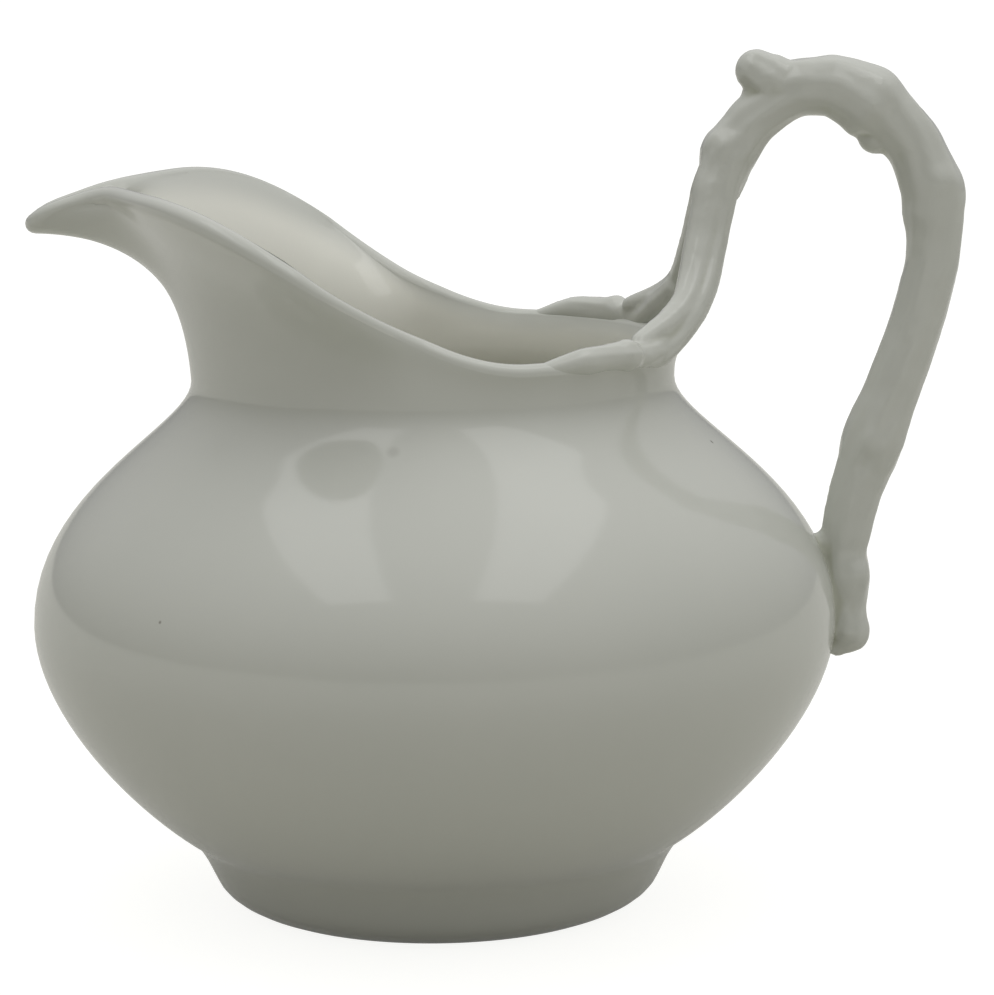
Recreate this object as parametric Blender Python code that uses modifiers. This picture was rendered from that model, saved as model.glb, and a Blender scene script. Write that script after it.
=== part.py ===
"""Creamer: a squat bowl with a drawn-out spout on a foot ring, with a forked branch handle.

The bowl's axis is the Z axis while the pieces are modelled. The spout points along -X, the handle
along +X. A parent empty then moves the whole so that the origin lies under the middle of the object.
"""

import math

import bmesh
import bpy
from mathutils import Vector

# Clearances
GAP = 0.0003                  # air left between two pieces that touch
SLIP = 0.0006                 # thickness of a layer of luting slip
SLIP_BEAD = 0.0006            # how far the slip squeezes out round a joint
WELD = 0.000005               # points closer than this are one point

# Foot ring
WAIST_RADIUS = 0.0323         # where the bowl meets the foot ring
FOOT_HEIGHT = 0.0055
FOOT_TAPER = 0.0012           # how far the ring draws in before its lower edge turns under
FOOT_EDGE = 0.0042            # height of that edge
FOOT_UNDERCUT = 0.0063        # how far it turns under
FOOT_SOFTNESS = 0.0012        # how far its curve stays off a square corner
FOOT_WIDTH = 0.0100           # from the outside in to the inner edge
FOOT_INNER_EDGE = 0.0015      # slope of the inner edge
FOOT_RECESS = 0.0016          # how far the ring widens inwards under the bowl

# Bowl
WALL = 0.0026
SKIRT_FLARE = 0.0029          # how far the skirt above the foot spreads
SKIRT_RISE = 0.0037           # height of that skirt
SKIRT_LEAN = math.radians(29) # of the wall at the foot, from upright
SKIRT_SLOPE = math.radians(34)
SKIRT_PULL = 0.0100           # fullness of the curve above the skirt
BELLY_RADIUS = 0.0553
BELLY_HEIGHT = 0.0400         # of the widest line above the table
BELLY_LOWER_PULL = 0.0110     # fullness of the curve below the widest line
BELLY_UPPER_PULL = 0.0185     # fullness of the curve above it
NECK_RADIUS = 0.0331
SHOULDER_RISE = 0.0333        # from the widest line up to the neck
NECK_PULL = 0.0069            # how tightly the shoulder turns up into the neck

# Rim and spout
RIM_FLARE = 0.0011            # how far the round part of the rim stands out from the neck
NECK_RISE = 0.0053            # from the neck up to the rim beside the handle
RIM_LIFT = 0.0215             # from there up to the rim at the spout's cheeks
RIM_RISE_START = 0.0136       # where the rim starts to rise, on the handle's side of the axis
RIM_CREST_SETBACK = 0.0170    # from the beak's tip back to where the rim is highest
WING_SPREAD = 0.0061          # how far the spout's wings stand out from the round rim
WING_OFFSET = 0.0163          # how far the wings lie in front of the axis
WING_PULL = 0.0193            # fullness of the rim's plan from the wings to the cheeks
CHEEK_WIDTH = 0.0068          # half width where the cheeks turn into the beak
CHEEK_TURN = math.radians(52) # the rim's direction there, from straight ahead
CHEEK_PULL = 0.0045           # how softly it turns
BEAK_LENGTH = 0.0096          # from the cheeks to the beak's tip
BEAK_ROUND = 0.0040           # fullness of the beak's tip
BEAK_DROOP = 0.0042           # how far the beak's tip hangs below the cheeks
BEAK_BEND = 4.0               # how late the beak bends down
SPOUT_REACH = 0.0557          # from the axis to the beak's tip
THROAT_PULL = 0.68            # share of the rise over which the wall leaves the neck upright
LIP_PULL = 0.56               # share of the reach over which the lip runs out level
LIP_LEAN = 0.15               # share of the reach by which the upright rim leans out
LIP_BEND = 2.4                  # how late, towards the beak, the upright rim turns level
LIP_ROUND = 0.0011            # rounding of the rim's edges
LIP_ROOM = 0.0016             # height below the rim that is left for it

# Branch from the fork over the crown to the knotted corner: out from the rim, up from it, radius
CROWN_STATIONS = (
    (0.0052, 0.0220, 0.0030),
    (0.0061, 0.0245, 0.0038),
    (0.0084, 0.0279, 0.0036),
    (0.0112, 0.0309, 0.0036),
    (0.0156, 0.0337, 0.0040),
    (0.0204, 0.0339, 0.0043),
    (0.0230, 0.0330, 0.0043),
    (0.0256, 0.0317, 0.0048),
    (0.0278, 0.0300, 0.0043),
    (0.0297, 0.0281, 0.0040),
    (0.0325, 0.0239, 0.0039),
    (0.0334, 0.0217, 0.0042),
    (0.0341, 0.0195, 0.0044),
    (0.0343, 0.0169, 0.0042),
    (0.0345, 0.0145, 0.0039),
    (0.0344, 0.0117, 0.0037),
    (0.0339, 0.0085, 0.0036),
)
# Branch down the back: shares of the way from corner to heel, and there bow outwards, radius
BACK_SHARES = (0.19, 0.37, 0.48, 0.56, 0.62, 0.68, 0.74, 0.83, 0.92)
BACK_STATIONS = (
    (0.0003, 0.0037),
    (0.0001, 0.0037),
    (-0.0001, 0.0038),
    (-0.0003, 0.0040),
    (-0.0003, 0.0043),
    (-0.0004, 0.0042),
    (-0.0005, 0.0038),
    (-0.0005, 0.0036),
    (-0.0003, 0.0035),
)
# Heel: out from the belly, up from the heel's middle, radius
HEEL_STATIONS = (
    (0.0016, 0.0091, 0.0034),
    (0.0015, 0.0063, 0.0032),
    (0.0017, 0.0031, 0.0034),
    (0.0016, 0.0007, 0.0032),
    (0.0015, -0.0014, 0.0030),
    (0.0016, -0.0034, 0.0031),
    (0.0019, -0.0049, 0.0033),
    (0.0013, -0.0063, 0.0026),
    (0.0008, -0.0076, 0.0015),
)
HEEL_RISE = 0.0020            # of the heel's middle above the belly's widest line
# Rounded stub that ends the crown: out from the rim, up from it, radius
STUB_STATIONS = (
    (0.0190, 0.0340, 0.0036),
    (0.0145, 0.0342, 0.0033),
    (0.0116, 0.0354, 0.0032),
    (0.0101, 0.0361, 0.0029),
    (0.0087, 0.0367, 0.0025),
    (0.0078, 0.0370, 0.0017),
)
# Knob on the inside of the bend: out from the rim, up from it, radius
KNOB_STATIONS = (
    (0.0288, 0.0292, 0.0029),
    (0.0274, 0.0276, 0.0028),
    (0.0266, 0.0267, 0.0025),
    (0.0259, 0.0259, 0.0019),
    (0.0254, 0.0253, 0.0011),
)

# Fork arms: out from the rim, sideways, up from the rim, radius
ARM_STATIONS = (
    (0.0059, 0.0013, 0.0244, 0.0028),
    (0.0045, 0.0021, 0.0202, 0.0029),
    (0.0041, 0.0026, 0.0176, 0.0029),
    (0.0031, 0.0040, 0.0132, 0.0027),
    (0.0020, 0.0065, 0.0087, 0.0026),
    (0.0010, 0.0090, 0.0057, 0.0025),
    (-0.0006, 0.0120, 0.0033, 0.0024),
)
ARM_FOOT_ANGLES = (math.radians(26), math.radians(34))
ARM_FOOT_RADIUS = 0.0023
ARM_FOOT_PROUD = 0.0025       # how far the arm's foot stands above the rim

# Rim twigs: angle past the arm's foot, radius, height above the rim
TWIG_STATIONS = (
    (math.radians(1), 0.0021, 0.0022),
    (math.radians(5), 0.0023, 0.0025),
    (math.radians(9), 0.0020, 0.0021),
    (math.radians(14), 0.0019, 0.0020),
    (math.radians(19), 0.0020, 0.0020),
    (math.radians(22), 0.0018, 0.0016),
    (math.radians(26), 0.0016, 0.0011),
    (math.radians(30), 0.0014, 0.0006),
)
RIGHT_LIFT = 0.0006           # how much higher the right twig and arm's foot lie than the left ones

# Facets
COLUMNS = 72                  # round the bowl, a multiple of 4
FOOT_EDGE_STEPS = 5
SKIRT_STEPS = 3
BELLY_STEPS = 7
SPOUT_STEPS = 7
PLAN_SAMPLES = 40             # along each curve of the rim's plan, before it is spaced evenly
PATH_STEPS = 2                # rings between two stations of a branch
BRANCH_SIDES = 4              # bevel resolution, 12 sides
LIP_STEPS = 2                 # of the rim's rounding
LIP_ANGLE = math.radians(70)  # edges sharper than this are rounded
SMOOTH_ANGLE = math.radians(40)
PULL = 2 / 3                  # share of the way to a corner at which a curve's handles lie

# Heights and radii that follow from these
FOOT_RADIUS = WAIST_RADIUS - FOOT_TAPER
BASE_HEIGHT = FOOT_HEIGHT + GAP + SLIP + GAP
FOOT_TOP_RADIUS = FOOT_RADIUS + FOOT_TAPER * (FOOT_HEIGHT - FOOT_EDGE) / (BASE_HEIGHT - FOOT_EDGE)
SKIRT_RADIUS = WAIST_RADIUS + SKIRT_FLARE
NECK_HEIGHT = BELLY_HEIGHT + SHOULDER_RISE
RIM_RADIUS = NECK_RADIUS + RIM_FLARE
RIM_HEIGHT = NECK_HEIGHT + NECK_RISE
HEEL_HEIGHT = BELLY_HEIGHT + HEEL_RISE
SEAT = GAP + SLIP + GAP       # from the bowl to a piece that slip holds


def clear_scene():
    for obj in list(bpy.data.objects):
        bpy.data.objects.remove(obj, do_unlink=True)


def add_collection(name):
    collection = bpy.data.collections.new(name)
    bpy.context.scene.collection.children.link(collection)
    return collection


def glaze(name, colour, roughness):
    """A glazed white earthenware finish."""
    material = bpy.data.materials.new(name)
    material.use_nodes = True
    shader = material.node_tree.nodes["Principled BSDF"]
    shader.inputs["Base Color"].default_value = (*colour, 1.0)
    shader.inputs["Roughness"].default_value = roughness
    shader.inputs["Metallic"].default_value = 0.0
    return material


def add_object(name, mesh, collection):
    obj = bpy.data.objects.new(name, mesh)
    collection.objects.link(obj)
    return obj


def mark_cutter(obj):
    obj.hide_render = True
    obj.display_type = "WIRE"
    return obj


def add_boolean(obj, operation, cutter):
    modifier = obj.modifiers.new(cutter.name, "BOOLEAN")
    modifier.operation = operation
    modifier.object = cutter
    modifier.solver = "EXACT"


def bezier(points, t):
    """Point of a cubic curve at t, for points given as vectors."""
    a, b, c, d = points
    s = 1.0 - t
    return a * s ** 3 + b * (3 * s * s * t) + c * (3 * s * t * t) + d * t ** 3


def smooth_step(value):
    value = min(max(value, 0.0), 1.0)
    return value * value * (3.0 - 2.0 * value)


def catmull_rom(stations, steps):
    """Smooth list of rows through the stations, which are rows of numbers."""
    rows = [Vector(row) for row in stations]
    rows = [rows[0] * 2 - rows[1]] + rows + [rows[-1] * 2 - rows[-2]]
    path = []
    for a, b, c, d in zip(rows, rows[1:], rows[2:], rows[3:]):
        bend = a * 2 - b * 5 + c * 4 - d
        twist = b * 3 - a - c * 3 + d
        for step in range(steps):
            t = step / steps
            path.append((b * 2 + (c - a) * t + bend * t ** 2 + twist * t ** 3) / 2)
    path.append(rows[-2])
    return path


# Bowl

def belly_profile():
    """Radius and height from the crease at the waist up to the neck."""
    waist = Vector((WAIST_RADIUS, BASE_HEIGHT))
    skirt = Vector((SKIRT_RADIUS, BASE_HEIGHT + SKIRT_RISE))
    widest = Vector((BELLY_RADIUS, BELLY_HEIGHT))
    neck = Vector((NECK_RADIUS, NECK_HEIGHT))
    slope = Vector((math.cos(SKIRT_SLOPE), math.sin(SKIRT_SLOPE)))
    lean = Vector((math.sin(SKIRT_LEAN), math.cos(SKIRT_LEAN)))
    third = (skirt - waist).length / 3
    up = Vector((0.0, 1.0))
    curves = (
        (SKIRT_STEPS, (waist, waist + lean * third, skirt - slope * third, skirt)),
        (BELLY_STEPS, (skirt, skirt + slope * SKIRT_PULL, widest - up * BELLY_LOWER_PULL, widest)),
        (BELLY_STEPS, (widest, widest + up * BELLY_UPPER_PULL, neck - up * NECK_PULL, neck)),
    )
    profile = [waist]
    for steps, points in curves:
        profile += [bezier(points, (step + 1) / steps) for step in range(steps)]
    return profile


def belly_radius(height):
    """Outer radius of the belly at a height."""
    profile = belly_profile()
    for low, high in zip(profile, profile[1:]):
        if low.y <= height <= high.y:
            return low.x + (high.x - low.x) * (height - low.y) / (high.y - low.y)
    raise ValueError("height is off the belly")


def rim_height(x):
    """Height of the rim over a point of the axis from handle to spout."""
    crest = RIM_CREST_SETBACK - SPOUT_REACH
    rise = (RIM_RISE_START - x) / (RIM_RISE_START - crest)
    droop = max(0.0, (crest - x) / RIM_CREST_SETBACK)
    return RIM_HEIGHT + RIM_LIFT * smooth_step(rise) - BEAK_DROOP * droop ** BEAK_BEND


def spout_plan():
    """The rim's outline in plan from the side of the bowl to the beak's tip, evenly spaced."""
    side = Vector((0.0, RIM_RADIUS))
    wing = Vector((-WING_OFFSET, RIM_RADIUS + WING_SPREAD))
    tip = Vector((-SPOUT_REACH, 0.0))
    ahead = Vector((-1.0, 0.0))
    sway = WING_OFFSET / 3
    cheek = Vector((BEAK_LENGTH - SPOUT_REACH, CHEEK_WIDTH))
    turn = Vector((-math.cos(CHEEK_TURN), -math.sin(CHEEK_TURN))) * CHEEK_PULL
    curves = (
        (side, side + ahead * sway, wing - ahead * sway, wing),
        (wing, wing + ahead * WING_PULL, cheek - turn, cheek),
        (cheek, cheek + turn, tip + Vector((0.0, BEAK_ROUND)), tip),
    )
    fine = [bezier(points, step / PLAN_SAMPLES) for points in curves for step in range(PLAN_SAMPLES + 1)]
    lengths = [0.0]
    for a, b in zip(fine, fine[1:]):
        lengths.append(lengths[-1] + (b - a).length)
    count = COLUMNS // 4
    plan = []
    for index in range(count + 1):
        target = lengths[-1] * index / count
        place = next(i for i, length in enumerate(lengths) if length >= target - WELD)
        plan.append(fine[place])
    return plan


def rim_loop():
    """Outer edge of the rim, once round from the handle's side."""
    quarter = COLUMNS // 4
    half = []
    for index in range(quarter):
        angle = math.pi / 2 * index / quarter
        half.append(Vector((RIM_RADIUS * math.cos(angle), RIM_RADIUS * math.sin(angle))))
    half += spout_plan()
    plan = half + [Vector((p.x, -p.y)) for p in half[-2:0:-1]]
    return [Vector((p.x, p.y, rim_height(p.x))) for p in plan]


def bowl_rings(extra):
    """Rings of the bowl's outer skin from waist to rim; the last ring goes on by extra."""
    angles = [2 * math.pi * index / COLUMNS for index in range(COLUMNS)]
    rings = []
    for point in belly_profile():
        rings.append([Vector((point.x * math.cos(a), point.x * math.sin(a), point.y)) for a in angles])
    lines = []
    for angle, neck, rim in zip(angles, rings[-1], rim_loop()):
        turn = math.pi - abs(math.pi - angle)
        flare = max(0.0, turn / (math.pi / 2) - 1.0) ** LIP_BEND
        rise = Vector((0.0, 0.0, rim.z - neck.z))
        reach = Vector((rim.x - neck.x, rim.y - neck.y, 0.0))
        lip = reach * (LIP_PULL * flare) + (rise + reach * LIP_LEAN) * ((1.0 - flare) / 3)
        edge = rim - Vector((0.0, 0.0, WALL * flare ** 2))
        lines.append((neck, neck + rise * THROAT_PULL, edge - lip, edge))
    ends = [1.0 - LIP_ROOM / (3 * (rim - c).length) for (a, b, c, rim) in lines]
    for step in range(SPOUT_STEPS):
        share = (step + 1) / SPOUT_STEPS
        rings.append([bezier(line, end * share) for line, end in zip(lines, ends)])
    rings.append([rim + (rim - c).normalized() * extra for (a, b, c, rim) in lines])
    return rings


def loft_bowl(name, collection, grow):
    """The bowl's wall, thickened by grow on both of its faces and on its rim."""
    shape = bmesh.new()
    loops = [[shape.verts.new(point) for point in ring] for ring in bowl_rings(grow)]
    shape.faces.new(reversed(loops[0]))
    for low, high in zip(loops, loops[1:]):
        for index in range(COLUMNS):
            after = (index + 1) % COLUMNS
            shape.faces.new((low[index], low[after], high[after], high[index]))
    mesh = bpy.data.meshes.new(name)
    shape.to_mesh(mesh)
    shape.free()
    obj = add_object(name, mesh, collection)
    wall = obj.modifiers.new("Wall", "SOLIDIFY")
    wall.thickness = WALL + 2 * grow
    wall.offset = 2 * grow / wall.thickness - 1.0
    wall.use_even_offset = True
    return obj


def make_body(collection):
    body = loft_bowl("body", collection, 0.0)
    edge = body.modifiers.new("Lip", "BEVEL")
    edge.width = LIP_ROUND
    edge.segments = LIP_STEPS
    edge.limit_method = "ANGLE"
    edge.angle_limit = LIP_ANGLE
    return body


def revolve(name, profile, collection):
    """A turned solid from a closed profile of radius and height, given top to bottom outside."""
    mesh = bpy.data.meshes.new(name)
    count = len(profile)
    edges = [(index, (index + 1) % count) for index in range(count)]
    mesh.from_pydata([(point[0], 0.0, point[1]) for point in profile], edges, [])
    obj = add_object(name, mesh, collection)
    screw = obj.modifiers.new("Turn", "SCREW")
    screw.angle = 2 * math.pi
    screw.steps = COLUMNS
    screw.render_steps = COLUMNS
    screw.use_merge_vertices = True
    screw.merge_threshold = WELD
    return obj


def make_foot(collection):
    edge = Vector((FOOT_RADIUS, FOOT_EDGE))
    standing = Vector((FOOT_RADIUS - FOOT_UNDERCUT, 0.0))
    corner = Vector((FOOT_RADIUS - FOOT_SOFTNESS, FOOT_SOFTNESS))
    curve = (edge, edge.lerp(corner, PULL), standing.lerp(corner, PULL), standing)
    profile = [(FOOT_TOP_RADIUS, FOOT_HEIGHT)]
    for step in range(FOOT_EDGE_STEPS + 1):
        point = bezier(curve, step / FOOT_EDGE_STEPS)
        profile.append((point.x, point.y))
    inner = FOOT_RADIUS - FOOT_WIDTH
    profile += [
        (inner + FOOT_INNER_EDGE, 0.0),
        (inner, FOOT_INNER_EDGE),
        (inner - FOOT_RECESS, FOOT_HEIGHT),
    ]
    return revolve("foot_ring", profile, collection)


def make_foot_slip(collection):
    low = FOOT_HEIGHT + GAP
    high = low + SLIP
    outer = FOOT_TOP_RADIUS
    inner = FOOT_RADIUS - FOOT_WIDTH - FOOT_RECESS
    return revolve("foot_slip", [(outer, high), (outer, low), (inner, low), (inner, high)], collection)


def belly_cutter(name, grow, collection):
    """The belly as a thick ring, grown by an allowance, to cut a heel that seats on it."""
    profile = belly_profile()
    grown = []
    for index, point in enumerate(profile):
        before = profile[max(index - 1, 0)]
        after = profile[min(index + 1, len(profile) - 1)]
        along = (after - before).normalized()
        grown.append(point + Vector((along.y, -along.x)) * grow)
    outline = [(point.x, point.y) for point in reversed(grown)]
    bore = WAIST_RADIUS - WALL
    outline += [(bore, grown[0].y), (bore, grown[-1].y)]
    return mark_cutter(revolve(name, outline, collection))


# Handle

def make_tube(name, path, grow, collection):
    """A closed round branch along rows of x, y, z and radius."""
    curve = bpy.data.curves.new(name, "CURVE")
    curve.dimensions = "3D"
    curve.bevel_depth = 1.0
    curve.bevel_resolution = BRANCH_SIDES
    curve.use_fill_caps = True
    spline = curve.splines.new("POLY")
    spline.points.add(len(path) - 1)
    for point, row in zip(spline.points, path):
        point.co = (row[0], row[1], row[2], 1.0)
        point.radius = row[3] + grow
    guide = add_object(name + "_guide", curve, collection)
    bpy.context.view_layer.update()
    depsgraph = bpy.context.evaluated_depsgraph_get()
    mesh = bpy.data.meshes.new_from_object(guide.evaluated_get(depsgraph))
    mesh.name = name
    shape = bmesh.new()
    shape.from_mesh(mesh)
    bmesh.ops.remove_doubles(shape, verts=shape.verts, dist=WELD)
    bmesh.ops.recalc_face_normals(shape, faces=shape.faces)
    shape.to_mesh(mesh)
    shape.free()
    obj = add_object(name, mesh, collection)
    obj.matrix_world = guide.matrix_world
    bpy.data.objects.remove(guide, do_unlink=True)
    return obj


def heel_stations():
    """Rows of x, y, z and radius where the branch runs down the belly."""
    belly = belly_radius(HEEL_HEIGHT)
    return [(belly + out, 0.0, HEEL_HEIGHT + up, radius) for out, up, radius in HEEL_STATIONS]


def branch_stations():
    """Rows of x, y, z and radius from the fork over the crown to the heel."""
    crown = [(RIM_RADIUS + out, 0.0, RIM_HEIGHT + up, radius) for out, up, radius in CROWN_STATIONS]
    heel = heel_stations()
    corner = Vector(crown[-1][:3])
    landing = Vector(heel[0][:3])
    back = []
    for share, (bow, radius) in zip(BACK_SHARES, BACK_STATIONS, strict=True):
        place = corner.lerp(landing, share)
        back.append((place.x + bow, 0.0, place.z, radius))
    return crown + back + heel


def make_branch(collection, cutters, belly_seat):
    branch = make_tube("handle_branch", catmull_rom(branch_stations(), PATH_STEPS), 0.0, collection)
    for name, stations in (("stub_union", STUB_STATIONS), ("knob_union", KNOB_STATIONS)):
        rows = [(RIM_RADIUS + out, 0.0, RIM_HEIGHT + up, radius) for out, up, radius in stations]
        knot = make_tube(name, catmull_rom(rows, PATH_STEPS), 0.0, cutters)
        add_boolean(branch, "UNION", mark_cutter(knot))
    add_boolean(branch, "DIFFERENCE", belly_seat)
    return branch


def make_heel_slip(collection, slip_outside, slip_inside):
    rows = catmull_rom(branch_stations()[-len(HEEL_STATIONS) - 1:], PATH_STEPS)
    pad = make_tube("heel_slip", rows, SLIP_BEAD, collection)
    add_boolean(pad, "INTERSECT", slip_outside)
    add_boolean(pad, "DIFFERENCE", slip_inside)
    return pad


def rim_branch_row(angle, radius, proud, side):
    """A row of a branch that lies on the rim, flush with the bowl's inner wall."""
    distance = RIM_RADIUS - WALL + radius
    x = distance * math.cos(angle)
    lift = RIGHT_LIFT if side > 0 else 0.0
    return (x, side * distance * math.sin(angle), rim_height(x) + proud + lift - radius, radius)


def arm_rows(side):
    rows = [
        (RIM_RADIUS + out, side * across, RIM_HEIGHT + up, radius)
        for out, across, up, radius in ARM_STATIONS
    ]
    rows += [rim_branch_row(angle, ARM_FOOT_RADIUS, ARM_FOOT_PROUD, side) for angle in ARM_FOOT_ANGLES]
    return rows


def make_middle_cutter(side, collection):
    """A block that covers the other side of the middle plane, with half a gap."""
    reach = RIM_RADIUS * 2
    bpy.ops.mesh.primitive_cube_add(size=1.0)
    block = bpy.context.active_object
    for owner in list(block.users_collection):
        owner.objects.unlink(block)
    collection.objects.link(block)
    block.name = "middle_left" if side < 0 else "middle_right"
    block.scale = (reach, reach, reach)
    block.location = (RIM_RADIUS, -side * (reach - GAP) / 2, RIM_HEIGHT)
    return mark_cutter(block)


def make_arm(side, label, collection, cutters, seats):
    arm = make_tube("fork_arm_" + label, catmull_rom(arm_rows(side), PATH_STEPS), 0.0, collection)
    add_boolean(arm, "DIFFERENCE", seats["branch"])
    add_boolean(arm, "DIFFERENCE", make_middle_cutter(side, cutters))
    add_boolean(arm, "DIFFERENCE", seats["rim"])
    return arm


def make_arm_slip(side, label, collection, seats):
    rows = catmull_rom(arm_rows(side)[-len(ARM_FOOT_ANGLES) - 1:], PATH_STEPS)
    pad = make_tube("arm_slip_" + label, rows, SLIP_BEAD, collection)
    add_boolean(pad, "INTERSECT", seats["slip_outside"])
    add_boolean(pad, "DIFFERENCE", seats["slip_inside"])
    return pad


def make_twig(side, label, collection, seats):
    start = ARM_FOOT_ANGLES[-1]
    rows = [rim_branch_row(start + angle, radius, proud, side) for angle, radius, proud in TWIG_STATIONS]
    twig = make_tube("rim_twig_" + label, catmull_rom(rows, PATH_STEPS), 0.0, collection)
    add_boolean(twig, "DIFFERENCE", seats["slip_inside"])
    return twig


def finish(obj, material, parent):
    obj.data.materials.append(material)
    obj.data.shade_smooth()
    obj.data.set_sharp_from_angle(angle=SMOOTH_ANGLE)
    obj.parent = parent


def main():
    clear_scene()
    parts = add_collection("creamer")
    cutters = add_collection("cutters")
    white = glaze("white_glaze", (0.70, 0.71, 0.68), 0.12)
    handle_white = glaze("handle_glaze", (0.72, 0.73, 0.70), 0.14)
    foot_white = glaze("foot_glaze", (0.64, 0.65, 0.62), 0.16)
    pooled = glaze("pooled_glaze", (0.62, 0.63, 0.58), 0.12)

    branch_path = catmull_rom(branch_stations(), PATH_STEPS)
    seats = {
        "rim": mark_cutter(loft_bowl("rim_seat", cutters, SEAT)),
        "slip_outside": mark_cutter(loft_bowl("slip_outside", cutters, GAP + SLIP)),
        "slip_inside": mark_cutter(loft_bowl("slip_inside", cutters, GAP)),
        "branch": mark_cutter(make_tube("branch_seat", branch_path, GAP, cutters)),
    }
    belly_seat = belly_cutter("belly_seat", SEAT, cutters)
    belly_outside = belly_cutter("belly_slip_outside", GAP + SLIP, cutters)
    belly_inside = belly_cutter("belly_slip_inside", GAP, cutters)

    finishes = [
        (make_body(parts), white),
        (make_foot(parts), foot_white),
        (make_foot_slip(parts), pooled),
        (make_branch(parts, cutters, belly_seat), handle_white),
        (make_heel_slip(parts, belly_outside, belly_inside), pooled),
    ]
    for side, label in ((-1, "left"), (1, "right")):
        finishes += [
            (make_arm(side, label, parts, cutters, seats), handle_white),
            (make_arm_slip(side, label, parts, seats), pooled),
            (make_twig(side, label, parts, seats), handle_white),
        ]

    handle_reach = max(row[0] + row[3] for row in branch_stations())
    middle = bpy.data.objects.new("creamer_origin", None)
    parts.objects.link(middle)
    for cutter in cutters.objects:
        cutter.parent = middle
    for obj, material in finishes:
        finish(obj, material, middle)
    middle.location.x = (SPOUT_REACH - handle_reach) / 2


main()
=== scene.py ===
"""A glazed creamer with a forked branch handle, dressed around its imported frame.

The file is laid out as an add-on: settings, one operator for each piece, one for the stage, a panel.
It is run as a script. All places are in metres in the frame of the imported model: the spout points
along -X, the handle along +X, and the bowl's own axis is the foot ring's.
"""

import math

import bmesh
import bpy
import numpy as np
from bpy.props import FloatProperty, FloatVectorProperty, IntProperty, PointerProperty
from bpy.types import Operator, Panel, PropertyGroup
from mathutils import Matrix, Vector


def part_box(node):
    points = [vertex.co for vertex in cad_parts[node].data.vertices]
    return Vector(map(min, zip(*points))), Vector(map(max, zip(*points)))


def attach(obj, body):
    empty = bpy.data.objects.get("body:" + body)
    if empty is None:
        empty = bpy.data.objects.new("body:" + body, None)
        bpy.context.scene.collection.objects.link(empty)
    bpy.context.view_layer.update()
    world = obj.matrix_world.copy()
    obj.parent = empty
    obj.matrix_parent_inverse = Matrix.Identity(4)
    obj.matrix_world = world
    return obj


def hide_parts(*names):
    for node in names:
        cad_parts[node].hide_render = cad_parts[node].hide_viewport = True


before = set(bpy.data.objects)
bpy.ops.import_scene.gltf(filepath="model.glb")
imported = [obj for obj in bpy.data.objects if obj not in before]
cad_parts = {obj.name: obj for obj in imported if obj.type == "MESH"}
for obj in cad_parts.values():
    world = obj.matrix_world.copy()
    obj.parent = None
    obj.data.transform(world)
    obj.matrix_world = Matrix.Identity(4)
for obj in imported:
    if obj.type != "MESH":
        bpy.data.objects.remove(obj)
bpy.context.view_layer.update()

bl_info = {
    "name": "Branch-handled creamer",
    "version": (1, 0, 0),
    "blender": (4, 5, 0),
    "location": "View3D > Sidebar > Creamer",
    "description": "Models the glazed bowl and the branch handle of a creamer and sets its stage",
    "category": "Object",
}

FOOT_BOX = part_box("foot_ring")
BODY_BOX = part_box("body")
AXIS_X = (FOOT_BOX[0].x + FOOT_BOX[1].x) / 2
MM = 0.001
UP = Vector((0.0, 0.0, 1.0))
INSIDE_TILT = 0.15              # how far a face that looks up may lean outwards and still count as inside
FACES_DOWN = -0.9               # a face whose normal has less height than this looks down
SMOOTH_ANGLE = math.radians(35) # the shading breaks at edges sharper than this
CAP_ANGLES = [math.radians(degrees) for degrees in (30, 55, 75)]  # rings of a branch's rounded end
POLE_SHARE = 1 / 8              # from the last of these rings to the pole, as a share of its radius
EASE = 0.5                      # how far one round of smoothing moves a point to its neighbours' middle
MIX_SHARE, MIX_FIRST, MIX_SECOND, MIX_RESULT = 0, 6, 7, 2  # sockets of a Mix node that mixes colours

# Tables of the handle: places in mm out from the rim, sideways from the middle and up from the rim
# The branch from the fork over the crown to the heel: out, up, radius
BRANCH = (
    (5.4, 20.6, 2.9), (6.1, 24.5, 3.85), (7.2, 26.2, 3.75), (8.4, 27.9, 3.5), (9.6, 29.5, 3.5),
    (11.2, 30.9, 3.5), (13.3, 32.5, 3.6), (15.6, 33.75, 3.95), (18.0, 33.9, 3.95), (20.4, 33.95, 4.3),
    (23.0, 33.1, 4.6), (25.6, 31.7, 5.05), (27.8, 30.0, 4.3), (29.7, 28.1, 4.05), (31.4, 26.1, 3.9),
    (32.5, 23.9, 3.95), (33.4, 21.7, 4.25), (34.2, 19.5, 4.4), (34.3, 16.9, 4.2), (34.5, 14.5, 3.9),
    (34.4, 11.7, 3.7), (33.9, 8.5, 3.65), (32.1, 1.6, 3.7), (29.8, -5.0, 3.75), (28.5, -8.6, 3.85),
    (27.4, -11.6, 4.1), (26.65, -13.7, 4.3), (26.1, -15.2, 4.25), (25.5, -17.2, 4.05), (25.1, -18.4, 3.85),
    (24.1, -21.4, 3.6), (23.3, -24.6, 3.5), (22.8, -27.5, 3.4), (22.5, -30.3, 3.15), (22.7, -33.5, 3.4),
    (22.7, -35.9, 3.15), (22.6, -38.0, 2.95), (22.7, -40.0, 3.1), (22.9, -41.5, 3.25), (22.2, -42.6, 2.5),
    (21.6, -43.2, 1.8),
)
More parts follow.
